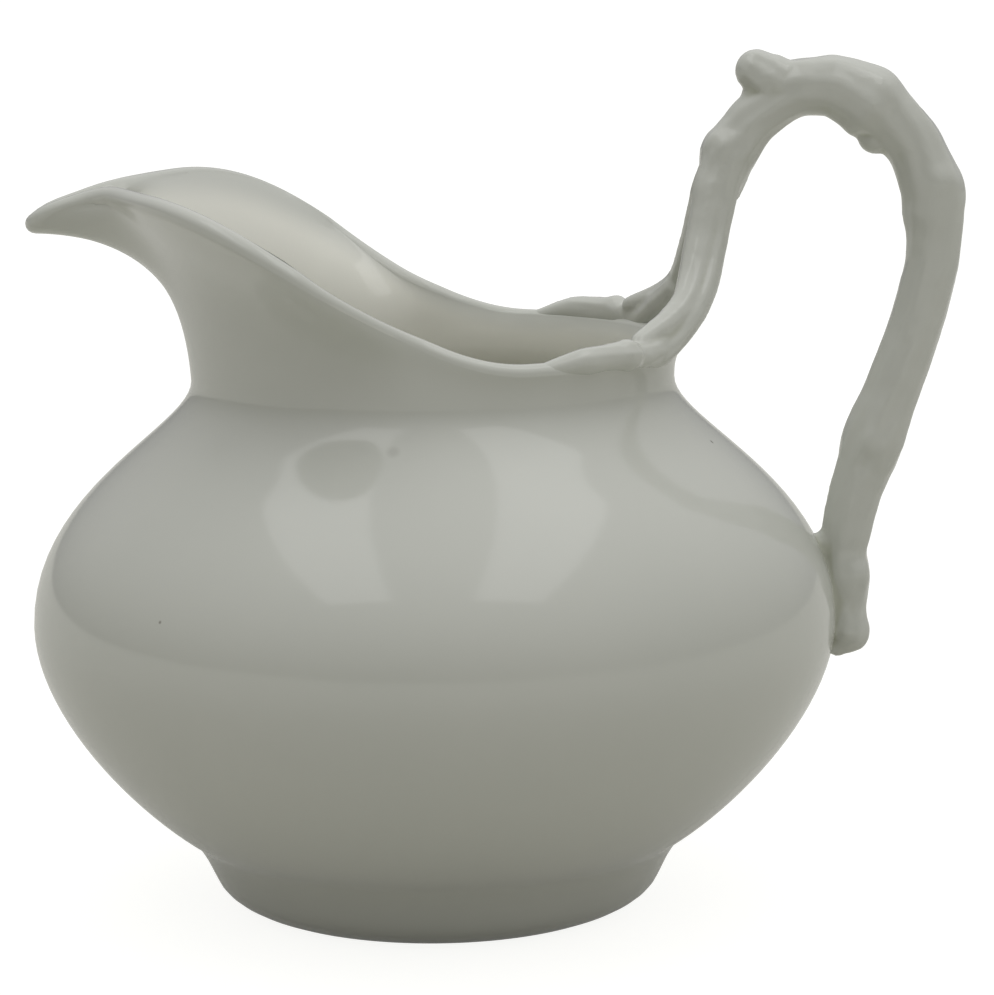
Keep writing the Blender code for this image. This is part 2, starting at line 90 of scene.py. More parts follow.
# The stub that ends the crown, the crotch and the knob under it, the web over the heel: out, up, radius
STUB = ((19.0, 34.2, 3.9), (14.5, 34.2, 3.4), (11.6, 35.2, 3.4), (10.1, 36.1, 2.95))
CROTCH = ((10.4, 32.7, 2.4), (12.8, 33.0, 3.3), (16.0, 33.8, 3.9))
KNOB = ((28.6, 29.4, 2.9), (27.0, 27.9, 2.7), (26.3, 27.2, 2.55))
WEB = ((17.5, -31.0, 2.0), (19.6, -29.2, 2.0), (22.0, -28.2, 2.2))
# The strands of a fork arm and the web under them: out, sideways, up, radius
ARM_INNER = (
    (5.2, 1.4, 24.4, 2.4), (3.6, 2.35, 20.2, 2.3), (3.15, 2.95, 17.6, 2.25), (2.15, 4.4, 13.2, 2.15),
    (1.0, 7.0, 8.6, 2.0), (-0.2, 9.7, 5.8, 1.85), (-2.3, 12.8, 3.7, 1.75), (-4.8, 15.6, 2.3, 1.5),
    (-6.6, 17.8, 1.6, 1.15),
)
ARM_OUTER = (
    (6.4, 1.3, 24.4, 2.6), (5.3, 2.0, 20.2, 2.3), (4.85, 2.5, 17.4, 2.15), (3.9, 3.9, 13.0, 2.05),
    (2.8, 6.4, 8.4, 1.95), (1.5, 8.9, 5.2, 1.85), (-0.5, 11.7, 2.4, 1.75), (-2.7, 14.1, 0.1, 1.55),
    (-3.3, 15.0, -1.0, 1.15),
)
ARM_MIDDLE = (
    (2.0, 7.6, 7.0, 1.6), (0.2, 10.6, 3.6, 1.6), (-2.0, 13.4, 1.0, 1.6), (-4.0, 15.4, -0.6, 1.6),
    (-5.6, 17.2, -0.8, 1.3),
)
ARM_WEB = (
    (-0.6, 8.6, 5.2, 1.7), (-2.2, 11.6, 2.6, 2.1), (-3.8, 14.4, 0.6, 2.0), (-5.6, 18.0, -0.1, 1.7),
    (-8.4, 21.2, -0.1, 1.5),
)
# A twig along the rim: degrees round the rim, radius, height over the rim
TWIG = (
    (37.5, 1.9, 2.0), (40, 2.2, 2.45), (43, 1.9, 2.1), (48, 1.8, 2.0), (52.5, 1.85, 1.95),
    (56, 1.6, 1.55), (60, 1.3, 0.9), (64, 1.1, 0.2), (68, 1.0, -0.4),
)
# Blocks of the bowl's wall on which the joints are built up, in mm: nearest and farthest from the axis,
# half width, lowest and highest, the fork's from the rim and the heel's from the belly's widest line
FORK_PAD = (12, 40, 32, -6, 6)
HEEL_PAD = (45, 60, 7, -6, 13)
# Lumps and hollows pressed into both sides of the handle: out, sideways, up, reach, height
LUMPS = (
    (4.6, 3.6, 26.9, 2.8, 0.35),
    (3.6, 3.6, 23.0, 2.4, -0.25),
    (17.6, 3.6, 35.6, 4.0, 0.3),
    (35.3, 3.6, 21.5, 2.6, 0.35),
    (25.8, 4.0, -14.4, 2.4, 0.3),
    (25.0, 4.0, -17.4, 2.2, -0.3),
    (24.6, 2.2, -33.0, 2.6, 0.35),
    (22.6, 3.4, -37.4, 2.6, -0.3),
)
# Brown specks in the glaze: along from the axis, across, up from the table and radius in mm, strength
SPECKS = (
    (37.7, -10.3, 65.5, 0.4, 0.8), (-47.2, -5.0, 57.7, 0.3, 0.8), (-34.5, -41.5, 47.6, 0.3, 0.6),
    (-4.6, -35.6, 68.4, 1.1, 0.16), (71.1, -3.0, 96.6, 0.3, 1.0),
)


# Settings

def linear(hex_colour):
    """Linear red, green and blue of an sRGB hex colour."""
    channels = [int(hex_colour[place:place + 2], 16) / 255 for place in (0, 2, 4)]
    return [c / 12.92 if c <= 0.04045 else ((c + 0.055) / 1.055) ** 2.4 for c in channels]


def length(name, millimetres, description):
    return FloatProperty(
        name=name, description=description, default=millimetres * MM, unit="LENGTH", precision=4
    )


def turn(name, degrees, description):
    return FloatProperty(
        name=name, description=description, default=math.radians(degrees), unit="ROTATION"
    )


def factor(name, value, description):
    return FloatProperty(name=name, description=description, default=value)


def count(name, value, description):
    return IntProperty(name=name, description=description, default=value, min=1)


def colour(name, hex_colour, description):
    return FloatVectorProperty(
        name=name, description=description, default=linear(hex_colour), subtype="COLOR", size=3, min=0, max=1
    )


class CreamerBowl(PropertyGroup):
    """Sizes of the bowl, its foot and its spout."""
    wall: length("Wall", 2.6, "Thickness of the wall")
    base_height: length("Base height", BODY_BOX[0].z / MM, "Underside of the bowl above the table")
    waist_radius: length("Waist radius", 32.3, "Where the foot meets the bowl")
    foot_taper: length("Foot taper", 1.2, "How far the foot draws in before its edge turns under")
    foot_width: length("Foot width", 10.0, "From the foot's outside in to its inner edge")
    foot_edge: length("Foot edge", 4.2, "Height of the foot's outer edge")
    foot_undercut: length("Foot undercut", 6.3, "How far the foot's outer edge turns under")
    foot_softness: length("Foot softness", 1.2, "How far the edge's curve stays off a square corner")
    foot_inner_edge: length("Foot inner edge", 1.5, "Rounding of the foot's inner edge")
    foot_recess: length("Foot recess", 1.6, "How far the foot widens inwards under the bowl")
    skirt_flare: length("Skirt flare", 2.9, "How far the skirt above the foot spreads")
    skirt_rise: length("Skirt rise", 3.7, "Height of the skirt")
    skirt_lean: turn("Skirt lean", 29, "Of the wall at the foot, from upright")
    skirt_slope: turn("Skirt slope", 34, "Slope of the bowl where the skirt ends")
    skirt_pull: length("Skirt pull", 10.0, "Fullness of the curve above the skirt")
    belly_radius: length("Belly radius", (BODY_BOX[1].y - BODY_BOX[0].y) / 2 / MM, "Widest radius")
    belly_height: length("Belly height", 40.0, "Height of the widest line")
    belly_lower_pull: length("Lower pull", 11.0, "Fullness below the widest line")
    belly_upper_pull: length("Upper pull", 18.5, "Fullness above the widest line")
    neck_radius: length("Neck radius", 33.1, "Radius of the neck")
    neck_height: length("Neck height", 73.3, "Height of the neck")
    neck_pull: length("Neck pull", 6.9, "How tightly the shoulder turns up into the neck")
    rim_radius: length("Rim radius", 34.2, "Radius of the round part of the rim")
    rim_height: length("Rim height", 78.6, "Height of the rim beside the handle")
    rim_lift: length("Rim lift", 21.3, "How far the rim rises to the spout's cheeks")
    rim_rise_start: length("Rise start", 13.6, "Where the rim starts to rise, from the axis")
    crest_setback: length("Crest setback", 17.0, "From the beak's tip back to the rim's highest place")
    wing_spread: length("Wing spread", 6.1, "How far the spout's wings stand out from the round rim")
    wing_offset: length("Wing offset", 16.3, "How far the wings lie in front of the axis")
    wing_pull: length("Wing pull", 19.3, "Fullness of the rim's plan from wings to cheeks")
    cheek_width: length("Cheek width", 7.4, "Half width where the cheeks turn into the beak")
    cheek_turn: turn("Cheek turn", 52, "Direction of the rim there, from straight ahead")
    cheek_pull: length("Cheek pull", 6.5, "How softly the rim turns there")
    beak_length: length("Beak length", 10.5, "From the cheeks to the beak's tip")
    beak_round: length("Beak round", 6.5, "Fullness of the beak's tip")
    beak_droop: length("Beak droop", 3.9, "How far the beak's tip hangs below the cheeks")
    beak_bend: factor("Beak bend", 6.0, "How late the beak bends down")
    spout_reach: length("Spout reach", (AXIS_X - BODY_BOX[0].x) / MM, "From the axis to the beak's tip")
    throat_pull: factor("Throat pull", 0.68, "Share of the rise over which the wall leaves the neck upright")
    lip_pull: factor("Lip pull", 0.56, "Share of the reach over which the lip runs out level")
    lip_lean: factor("Lip lean", 0.15, "Share of the reach by which the upright rim leans out")
    lip_bend: factor("Lip bend", 2.4, "How late, towards the beak, the upright rim turns level")
    lip_round: length("Lip round", 1.2, "Rounding of the rim's two edges")
    lip_room: length("Lip room", 1.6, "Height below the rim that is left for its rounding")
    lip_steps: count("Lip steps", 4, "Rings round each of the rim's edges")
    ease_rounds: count("Ease rounds", 100, "Rounds of smoothing between the spout's wings and its beak")
    # Painted light: depth below the rim over which the inside's painted lighter colour fades in
    painted_light_fade: length("Lip fade", 4.0, "Depth over which the glaze inside takes its own colour")
    floor_round: length("Floor round", 6.0, "Rounding between the floor and the wall inside")
    floor_steps: count("Floor steps", 5, "Rings on the floor inside")
    floor_round_steps: count("Floor round steps", 40, "Rounds of smoothing where floor and wall meet")
    columns: count("Columns", 240, "Points round the bowl")
    foot_steps: count("Foot steps", 6, "Rings down each half of the foot")
    skirt_steps: count("Skirt steps", 8, "Rings up the skirt")
    belly_steps: count("Belly steps", 22, "Rings up each half of the belly")
    spout_steps: count("Spout steps", 28, "Rings from the neck to the rim")
    plan_samples: count("Plan samples", 80, "Points along each curve of the rim's plan")


class CreamerHandle(PropertyGroup):
    """Sizes of the branch handle's bark and joints."""
    path_steps: count("Path steps", 8, "Rings between two stations of a branch")
    sides: count("Sides", 36, "Points round a branch")
    facets: factor("Facets", 0.018, "Depth of the branch's flats, as a share of its radius")
    facet_count: count("Facet count", 5, "Flats round a branch")
    flutes: length("Flutes", 0.1, "Depth of the bark's lengthwise flutes")
    flute_count: count("Flute count", 9, "Flutes round a branch")
    bark_depth: length("Bark depth", 0.3, "Depth of the bark's hand-modelled unevenness")
    bark_grain: length("Bark grain", 5, "Size of that unevenness")
    voxel: length("Voxel", 0.32, "Grain of the joined handle")
    seat: length("Seat", 0.3, "How far the handle's pads lie inside the bowl's wall")
    far_lift: length("Far lift", 0.7, "How much higher the far twig and foot lie on the rim")
    lift_fade: length("Lift fade", 12, "Height over the rim at which an arm has lost that lift")
    twig_fade: turn("Twig fade", 20, "Way round the rim over which the twig's end loses that lift")
    twig_inset: length("Twig inset", 0.1, "How far the twigs stand proud of the wall's inner face")
    pool_depth: length("Pool depth", 0.2, "Depth of a hollow that the glaze fills with a pool")
    pool_rounds: count("Pool rounds", 30, "Reach of the hollows that hold a pool")
    smoothing: count("Smoothing", 8, "Rounds of smoothing all over")
    glaze_fill: count("Glaze fill", 30, "Rounds of smoothing where the handle meets the bowl")
    joint_reach: length("Joint reach", 2.0, "How far from the bowl that smoothing reaches")


class CreamerGlaze(PropertyGroup):
    """Colours and skin of the glaze."""
    outer: colour("Outer", "C9CBC3", "The glaze outside, between its clouds")
    outer_cloud: colour("Outer cloud", "D0D1C9", "The glaze outside, in its clouds")
    # Painted light: the inside is a little warmer, and painted lighter than the outside for the inner wall's
    # light
    inner: colour("Inner", "E2E2D6", "The glaze inside the bowl, between its clouds")
    inner_lit_cloud: colour("Inner cloud", "E7E6DC", "The glaze inside the bowl, in its clouds")
    pooled: colour("Pooled", "BBBDAE", "The glaze where it fills a hollow")
    speck: colour("Speck", "5E564A", "The specks in the glaze")
    bare: colour("Bare", "CDC3AE", "The clay where the foot is wiped")
    bare_height: length("Bare height", 0.25, "Height over the table up to which the foot is wiped")
    cloud_size: length("Cloud size", 28.57, "Size of the clouds")
    smoothest: factor("Smoothest", 0.08, "Roughness between the clouds")
    roughest: factor("Roughest", 0.13, "Roughness in the clouds")
    wave_size: length("Wave size", 11.76, "Size of the waves in the glaze's skin")
    wave_depth: length("Wave depth", 0.06, "Depth of the waves")
    ior: factor("IOR", 1.5, "Refraction of the clear glaze")


class CreamerStage(PropertyGroup):
    """Camera, lamps and floor."""
    lens: FloatProperty(name="Lens", description="Focal length in mm", default=137.6, unit="CAMERA")
    distance: length("Distance", 524.4, "From the camera to the point that it looks at")
    aim_x: length("Aim along", AXIS_X / MM + 8.66, "The point looked at, along the object")
    aim_height: length("Aim height", 56.36, "The point looked at, above the table")
    pitch: turn("Pitch", 9.66, "How far the camera looks down")
    roll: turn("Roll", -0.447, "How far the camera leans")
    lamp_height: length("Lamp height", 1000, "Height of the two soft boxes over the table")
    lamp_width: length("Lamp width", 384, "Size of each soft box across")
    lamp_depth: length("Lamp depth", 1000, "Size of each soft box front to back")
    lamp_gap: length("Lamp gap", 424, "Between the two soft boxes")
    lamp_forward: length("Lamp forward", 300, "How far their middle lies in front of the object")
    lamp_power: FloatProperty(name="Lamp power", description="Of each soft box", default=1.25, unit="POWER")
    fill_above: factor("Fill above", 0.92, "Strength of the room's light from overhead")
    fill_right: factor("Fill right", 0.16, "Strength of the room's light from the right")
    fill_behind: factor("Fill behind", 0.25, "Strength of the room's light from behind the object")
    bounce: colour("Bounce", "CBCAC2", "Colour with which the floor lights the object")
    mirrored: factor("Mirrored", 0.2, "How white the floor shows in the glaze")
    shadow: factor("Shadow", 0.25, "Share of the floor's white that a shadow takes away")
    glow: factor("Glow", 1.02, "How white the floor shows by itself, also in a shadow")
    floor: colour("Floor", "F2F2F0", "Colour of the paper floor")
    floor_size: length("Floor size", 12000, "Side of the floor")


# Modelling helpers

def bezier(points, t):
    """The place on a cubic curve at a share t of its way."""
    a, b, c, d = points
    s = 1.0 - t
    return a * s ** 3 + b * (3 * s * s * t) + c * (3 * s * t * t) + d * t ** 3


def smooth_step(value):
    """A ramp from 0 to 1 with soft ends."""
    value = min(max(value, 0.0), 1.0)
    return value * value * (3.0 - 2.0 * value)


def is_inside(vertex):
    """True for a point of the bowl above its base whose normal looks at the axis or straight up."""
    flat = Vector((vertex.co.x - AXIS_X, vertex.co.y, 0.0))
    return vertex.co.z > BODY_BOX[0].z and vertex.normal.dot(flat.normalized() - UP * INSIDE_TILT) < 0.0


def plan_angle(place):
    """Angle round the bowl's axis, from the handle."""
    return math.atan2(place.y, place.x - AXIS_X) % (2 * math.pi)


def apply_modifier(piece, kind, **settings):
    """Adds a modifier with its settings and applies it."""
    bpy.ops.object.modifier_add(type=kind)
    modifier = piece.modifiers[-1]
    for name, value in settings.items():
        setattr(modifier, name, value)
    bpy.ops.object.modifier_apply(modifier=modifier.name)


def edit_shape(piece):
    return bmesh.from_edit_mesh(piece.data)


def select_only(piece, chosen):
    """Selects the given points, edges or faces of the shape in edit mode and nothing else."""
    bpy.ops.mesh.select_all(action="DESELECT")
    for element in chosen:
        element.select_set(True)
    edit_shape(piece).select_flush_mode()
    bmesh.update_edit_mesh(piece.data)


def lay_selected(piece, ring):
    """Lays the selected points, in their order round the axis, on the points of a ring."""
    shape = edit_shape(piece)
    chosen = sorted((v for v in shape.verts if v.select), key=lambda v: plan_angle(v.co))
    for vertex, place in zip(chosen, ring, strict=True):
        vertex.co = place
    bmesh.update_edit_mesh(piece.data)


# The bowl

def circle(radius, height, columns):
    """Points of a level circle round the bowl's axis."""
    turns = [2 * math.pi * column / columns for column in range(columns)]
    return [Vector((AXIS_X + radius * math.cos(a), radius * math.sin(a), height)) for a in turns]


def belly_profile(bowl):
    """Radius and height from the crease at the waist up to the neck."""
    waist = Vector((bowl.waist_radius, bowl.base_height))
    skirt = waist + Vector((bowl.skirt_flare, bowl.skirt_rise))
    widest = Vector((bowl.belly_radius, bowl.belly_height))
    neck = Vector((bowl.neck_radius, bowl.neck_height))
    slope = Vector((math.cos(bowl.skirt_slope), math.sin(bowl.skirt_slope)))
    lean = Vector((math.sin(bowl.skirt_lean), math.cos(bowl.skirt_lean)))
    third = (skirt - waist).length / 3
    up = Vector((0.0, 1.0))
    lower = (skirt, skirt + slope * bowl.skirt_pull, widest - up * bowl.belly_lower_pull, widest)
    upper = (widest, widest + up * bowl.belly_upper_pull, neck - up * bowl.neck_pull, neck)
    curves = (
        (bowl.skirt_steps, (waist, waist + lean * third, skirt - slope * third, skirt)),
        (bowl.belly_steps, lower),
        (bowl.belly_steps, upper),
    )
    profile = [waist]
    for steps, points in curves:
        profile += [bezier(points, (step + 1) / steps) for step in range(steps)]
    return profile


def rim_level(bowl, along):
    """Height of the rim over a point of the line from handle to spout, measured from the axis."""
    crest = bowl.crest_setback - bowl.spout_reach
    rise = (bowl.rim_rise_start - along) / (bowl.rim_rise_start - crest)
    droop = max(0.0, (crest - along) / bowl.crest_setback)
    return bowl.rim_height + bowl.rim_lift * smooth_step(rise) - bowl.beak_droop * droop ** bowl.beak_bend


def spout_plan(bowl):
    """The rim's plan from the side of the bowl to the beak's tip, evenly spaced."""
    side = Vector((0.0, bowl.rim_radius))
    wing = Vector((-bowl.wing_offset, bowl.rim_radius + bowl.wing_spread))
    cheek = Vector((bowl.beak_length - bowl.spout_reach, bowl.cheek_width))
    tip = Vector((-bowl.spout_reach, 0.0))
    ahead = Vector((-1.0, 0.0))
    sway = bowl.wing_offset / 3
    bend = Vector((-math.cos(bowl.cheek_turn), -math.sin(bowl.cheek_turn))) * bowl.cheek_pull
    curves = (
        (side, side + ahead * sway, wing - ahead * sway, wing),
        (wing, wing + ahead * bowl.wing_pull, cheek - bend, cheek),
        (cheek, cheek + bend, tip + Vector((0.0, bowl.beak_round)), tip),
    )
    fine = []
    for points in curves:
        fine += [bezier(points, step / bowl.plan_samples) for step in range(bowl.plan_samples)]
    fine.append(tip)
    runs = np.cumsum([0.0] + [(b - a).length for a, b in zip(fine, fine[1:])])
    evenly = np.linspace(0.0, runs[-1], bowl.columns // 4 + 1)
    xs = np.interp(evenly, runs, [p.x for p in fine])
    ys = np.interp(evenly, runs, [p.y for p in fine])
    return [Vector((x, y)) for x, y in zip(xs, ys)]


def rim_loop(bowl):
    """Outer edge of the rim, once round from the handle's side."""
    quarter = bowl.columns // 4
    half = []
    for column in range(quarter):
        angle = math.pi / 2 * column / quarter
        half.append(Vector((bowl.rim_radius * math.cos(angle), bowl.rim_radius * math.sin(angle))))
    half += spout_plan(bowl)
    plan = half + [Vector((p.x, -p.y)) for p in half[-2:0:-1]]
    return [Vector((AXIS_X + p.x, p.y, rim_level(bowl, p.x))) for p in plan]


def wall_lines(bowl):
    """For each column the curve of the outer wall from the neck up and out to the rim."""
    necks = circle(bowl.neck_radius, bowl.neck_height, bowl.columns)
    lines = []
    for column, (neck, rim) in enumerate(zip(necks, rim_loop(bowl))):
        angle = 2 * math.pi * column / bowl.columns
        forward = math.pi - abs(math.pi - angle)
        flare = max(0.0, forward / (math.pi / 2) - 1.0) ** bowl.lip_bend
        rise = UP * (rim.z - neck.z)
        reach = Vector((rim.x - neck.x, rim.y - neck.y, 0.0))
        lip = reach * (bowl.lip_pull * flare) + (rise + reach * bowl.lip_lean) * ((1.0 - flare) / 3)
        edge = rim - UP * (bowl.wall * flare ** 2)
        lines.append((neck, neck + rise * bowl.throat_pull, edge - lip, edge))
    return lines


def bowl_rings(bowl):
    """Rings of the outer wall from the waist to the rim."""
    rings = [circle(point.x, point.y, bowl.columns) for point in belly_profile(bowl)]
    lines = wall_lines(bowl)
    ends = [1.0 - bowl.lip_room / (3 * (rim - lip).length) for (neck, throat, lip, rim) in lines]
    for step in range(bowl.spout_steps):
        share = (step + 1) / bowl.spout_steps
        rings.append([bezier(line, end * share) for line, end in zip(lines, ends)])
    rings.append([line[3] for line in lines])
    return rings


def foot_steps(bowl):
    """Pairs of radius and height on the foot's outer and inner face, from the bowl down to the table."""
    foot_radius = bowl.waist_radius - bowl.foot_taper
    inner = foot_radius - bowl.foot_width
    waist = Vector((bowl.waist_radius, bowl.base_height))
    recess = Vector((inner - bowl.foot_recess, bowl.base_height))
    edge = Vector((foot_radius, bowl.foot_edge))
    inner_edge = Vector((inner, bowl.foot_inner_edge))
    standing = Vector((foot_radius - bowl.foot_undercut, 0.0))
    corner = Vector((foot_radius - bowl.foot_softness, bowl.foot_softness))
    curve = (edge, edge.lerp(corner, 2 / 3), standing.lerp(corner, 2 / 3), standing)
    shares = [step / bowl.foot_steps for step in range(1, bowl.foot_steps + 1)]
    steps = [(waist.lerp(edge, share), recess.lerp(inner_edge, share)) for share in shares]
    for share in shares:
        angle = math.pi / 2 * share
        turned = Vector((1.0 - math.cos(angle), -math.sin(angle))) * bowl.foot_inner_edge
        steps.append((bezier(curve, share), inner_edge + turned))
    return steps


def draw_foot(piece, bowl):
    """Draws the foot ring down out of the bowl's flat underside."""
    disc = [f for f in edit_shape(piece).faces if len(f.verts) == bowl.columns and f.normal.z < 0]
    select_only(piece, disc)
    start = bowl.waist_radius - bowl.foot_taper - bowl.foot_width - bowl.foot_recess
    bpy.ops.mesh.inset(thickness=bowl.waist_radius - start)
    quads = [f for f in edit_shape(piece).faces if len(f.verts) == 4 and f.normal.z < FACES_DOWN]
    low = bowl.base_height + bowl.wall / 4
    select_only(piece, [f for f in quads if max(v.co.z for v in f.verts) < low])
    for outer, inside in foot_steps(bowl):
        bpy.ops.mesh.extrude_region_move()
        for vertex in [v for v in edit_shape(piece).verts if v.select]:
            flat = Vector((vertex.co.x - AXIS_X, vertex.co.y))
            target = outer if flat.length > (start + bowl.waist_radius) / 2 else inside
            flat = flat.normalized() * target.x
            vertex.co = Vector((AXIS_X + flat.x, flat.y, target.y))
        bmesh.update_edit_mesh(piece.data)


def round_floor(piece, bowl):
    """Rings the floor inside and smooths the corner between floor and wall."""
    bpy.ops.mesh.select_mode(type="FACE")
    disc = [f for f in edit_shape(piece).faces if len(f.verts) == bowl.columns and f.normal.z > 0]
    select_only(piece, disc)
    for _ in range(bowl.floor_steps):
        bpy.ops.mesh.inset(thickness=bowl.floor_round / 2)
    low = bowl.base_height + bowl.wall / 2
    high = low + bowl.floor_round
    corner = [v for v in edit_shape(piece).verts if low < v.co.z < high and is_inside(v)]
    bpy.ops.mesh.select_mode(type="VERT")
    select_only(piece, corner)
    bpy.ops.mesh.vertices_smooth(factor=EASE, repeat=bowl.floor_round_steps)


def ease_spout(piece, bowl):
    """Smooths the fold between the spout's wings and its beak, below the lip and beside its middle."""
    front = AXIS_X - bowl.rim_radius / 2
    wall = [v for v in edit_shape(piece).verts if v.co.x < front and v.co.z > bowl.neck_height]
    sides = [v for v in wall if abs(v.co.y) > bowl.cheek_width / 3 and not v.is_boundary]
    below = [v for v in sides if not any(e.other_vert(v).is_boundary for e in v.link_edges)]
    bpy.ops.mesh.select_mode(type="VERT")
    select_only(piece, below)
    bpy.ops.mesh.vertices_smooth(factor=EASE, repeat=bowl.ease_rounds)


def model_bowl(bowl):
    """The bowl from one circle: wall drawn up ring by ring, thickened, lip rounded, foot drawn down."""
    rings = bowl_rings(bowl)
    bpy.ops.object.select_all(action="DESELECT")
    bpy.ops.mesh.primitive_circle_add(
        vertices=bowl.columns, radius=bowl.waist_radius, fill_type="NGON",
        location=(AXIS_X, 0.0, bowl.base_height),
    )
    bpy.ops.object.transform_apply(location=True, rotation=True, scale=True)
    piece = bpy.context.active_object
    piece.name = "bowl"
    bpy.ops.object.mode_set(mode="EDIT")
    bpy.ops.mesh.select_mode(type="EDGE")
    select_only(piece, edit_shape(piece).edges)
    lay_selected(piece, rings[0])
    for ring in rings[1:]:
        bpy.ops.mesh.extrude_edges_move()
        lay_selected(piece, ring)
    ease_spout(piece, bowl)
    bpy.ops.mesh.select_all(action="SELECT")
    bpy.ops.mesh.normals_make_consistent(inside=True)
    bpy.ops.object.mode_set(mode="OBJECT")
    # The second slot marks the faces of the lip, so that its edges can be found and rounded
    bpy.ops.object.material_slot_add()
    bpy.ops.object.material_slot_add()
    apply_modifier(
        piece, "SOLIDIFY", thickness=bowl.wall, offset=-1.0, use_even_offset=True, material_offset_rim=1
    )
    bpy.ops.object.mode_set(mode="EDIT")
    bpy.ops.mesh.select_mode(type="FACE")
    select_only(piece, [f for f in edit_shape(piece).faces if f.material_index == 1])
    bpy.ops.mesh.region_to_loop()
    bpy.ops.mesh.bevel(offset=bowl.lip_round, segments=bowl.lip_steps)
    round_floor(piece, bowl)
    bpy.ops.mesh.select_mode(type="FACE")
    draw_foot(piece, bowl)
    bpy.ops.object.mode_set(mode="OBJECT")
    piece.data.materials.clear()
    bpy.ops.object.shade_smooth_by_angle(angle=SMOOTH_ANGLE)
    # The inside's painted light: the lighter inside colour on inner faces, fading in below the rim
    depths = [(rim_level(bowl, v.co.x - AXIS_X) - v.co.z) * is_inside(v) for v in piece.data.vertices]
    paint(piece, "inside", [smooth_step(depth / bowl.painted_light_fade) for depth in depths])
    return piece


# The handle

def rounded_path(stations, steps):
    """Smooth rows of numbers through the stations."""
    rows = [Vector(row) for row in stations]
    rows = [rows[0] * 2 - rows[1]] + rows + [rows[-1] * 2 - rows[-2]]
    path = []
    for a, b, c, d in zip(rows, rows[1:], rows[2:], rows[3:]):
        bend = a * 2 - b * 5 + c * 4 - d
        twist = b * 3 - a - c * 3 + d
        for step in range(steps):
            t = step / steps
            path.append((b * 2 + (c - a) * t + bend * t ** 2 + twist * t ** 3) / 2)
    path.append(rows[-2])
    return path


def from_rim(bowl, out, across, up):
    """A place given in mm out from the rim, sideways and up from it."""
    return (AXIS_X + bowl.rim_radius + out * MM, across * MM, bowl.rim_height + up * MM)


def side_stations(bowl, rows):
    """Rows of x, y, z and radius in the handle's middle plane."""
    return [(*from_rim(bowl, out, 0.0, up), radius * MM) for out, up, radius in rows]


def strand_stations(bowl, handle, rows, side):
    """Rows of x, y, z and radius on one side of the middle plane."""
    stations = []
    for out, across, up, radius in rows:
        lift = handle.far_lift * smooth_step(1.0 - up * MM / handle.lift_fade) if side > 0 else 0.0
        place = Vector(from_rim(bowl, out, side * across, up)) + UP * lift
        stations.append((*place, radius * MM))
    return stations


def twig_stations(bowl, handle, rows, side, far_lift):
    """Rows of x, y, z and radius along one side of the rim, flush with the wall inside."""
    stations = []
    for degrees, radius, proud in rows:
        angle = math.radians(degrees)
        lift = far_lift * smooth_step((math.radians(rows[-1][0]) - angle) / handle.twig_fade)
        distance = bowl.rim_radius - bowl.wall + radius * MM - handle.twig_inset
        along = distance * math.cos(angle)
        across = side * distance * math.sin(angle)
        height = rim_level(bowl, along) + (proud - radius) * MM + lift
        stations.append((AXIS_X + along, across, height, radius * MM))
    return stations


def with_round_ends(path):
    """A path of x, y, z and radius with half a ball at either end."""
    ends = []
    for tip, inner in ((path[0], path[1]), (path[-1], path[-2])):
        away = (Vector(tip[:3]) - Vector(inner[:3])).normalized()
        caps = []
        for angle in CAP_ANGLES:
            place = Vector(tip[:3]) + away * (tip[3] * math.sin(angle))
            caps.append(Vector((*place, tip[3] * math.cos(angle))))
        ends.append(caps)
    return ends[0][::-1] + path + ends[1]


def draw_branch(name, stations, handle):
    """A sphere drawn out ring by ring along a path, with flats and flutes along it."""
    path = with_round_ends(rounded_path(stations, handle.path_steps))
    places = [Vector(row[:3]) for row in path]
    bpy.ops.object.select_all(action="DESELECT")
    bpy.ops.mesh.primitive_uv_sphere_add(segments=handle.sides, ring_count=len(path) + 1, radius=1.0)
    piece = bpy.context.active_object
    piece.name = name
    frames = []
    out = Vector((1.0, 0.0, 0.0))
    for before, after in zip(places[:1] + places[:-1], places[1:] + places[-1:]):
        along = (after - before).normalized()
        out = (out - along * out.dot(along)).normalized()
        frames.append((out.copy(), out.cross(along), along))
    for vertex in piece.data.vertices:
        ring = round(math.acos(max(-1.0, min(1.0, vertex.co.z))) / math.pi * (len(path) + 1)) - 1
        if ring < 0:
            vertex.co = places[0] - frames[0][2] * (path[0][3] * POLE_SHARE)
        elif ring == len(path):
            vertex.co = places[-1] + frames[-1][2] * (path[-1][3] * POLE_SHARE)
        else:
            angle = math.atan2(vertex.co.y, vertex.co.x)
            flat = handle.facets * math.cos(handle.facet_count * angle)
            flute = handle.flutes * math.cos(handle.flute_count * angle + ring / handle.path_steps)
            radius = path[ring][3] * (1.0 + flat) + flute
            out, across, along = frames[ring]
            vertex.co = places[ring] + (out * math.cos(angle) + across * math.sin(angle)) * radius
    return piece


def cut_pad(bowl_piece, block_sizes, level, inset):
    """A block of the bowl's wall, drawn in by inset on every face, on which a joint is built up."""
    near, far, half_width, below, above = [size * MM for size in block_sizes]
    low = Vector((AXIS_X + near, -half_width, level + below))
    high = Vector((AXIS_X + far, half_width, level + above))
    bpy.ops.object.select_all(action="DESELECT")
    bowl_piece.select_set(True)
    bpy.context.view_layer.objects.active = bowl_piece
    bpy.ops.object.duplicate()
    pad = bpy.context.active_object
    bpy.ops.object.mode_set(mode="EDIT")
    bpy.ops.mesh.select_all(action="SELECT")
    bpy.ops.transform.shrink_fatten(value=-inset)
    bpy.ops.object.mode_set(mode="OBJECT")
    bpy.ops.mesh.primitive_cube_add(size=1.0, location=(low + high) / 2)
    block = bpy.context.active_object
    block.scale = high - low
    bpy.context.view_layer.objects.active = pad
    apply_modifier(pad, "BOOLEAN", operation="INTERSECT", object=block)
    bpy.data.objects.remove(block)
    return pad


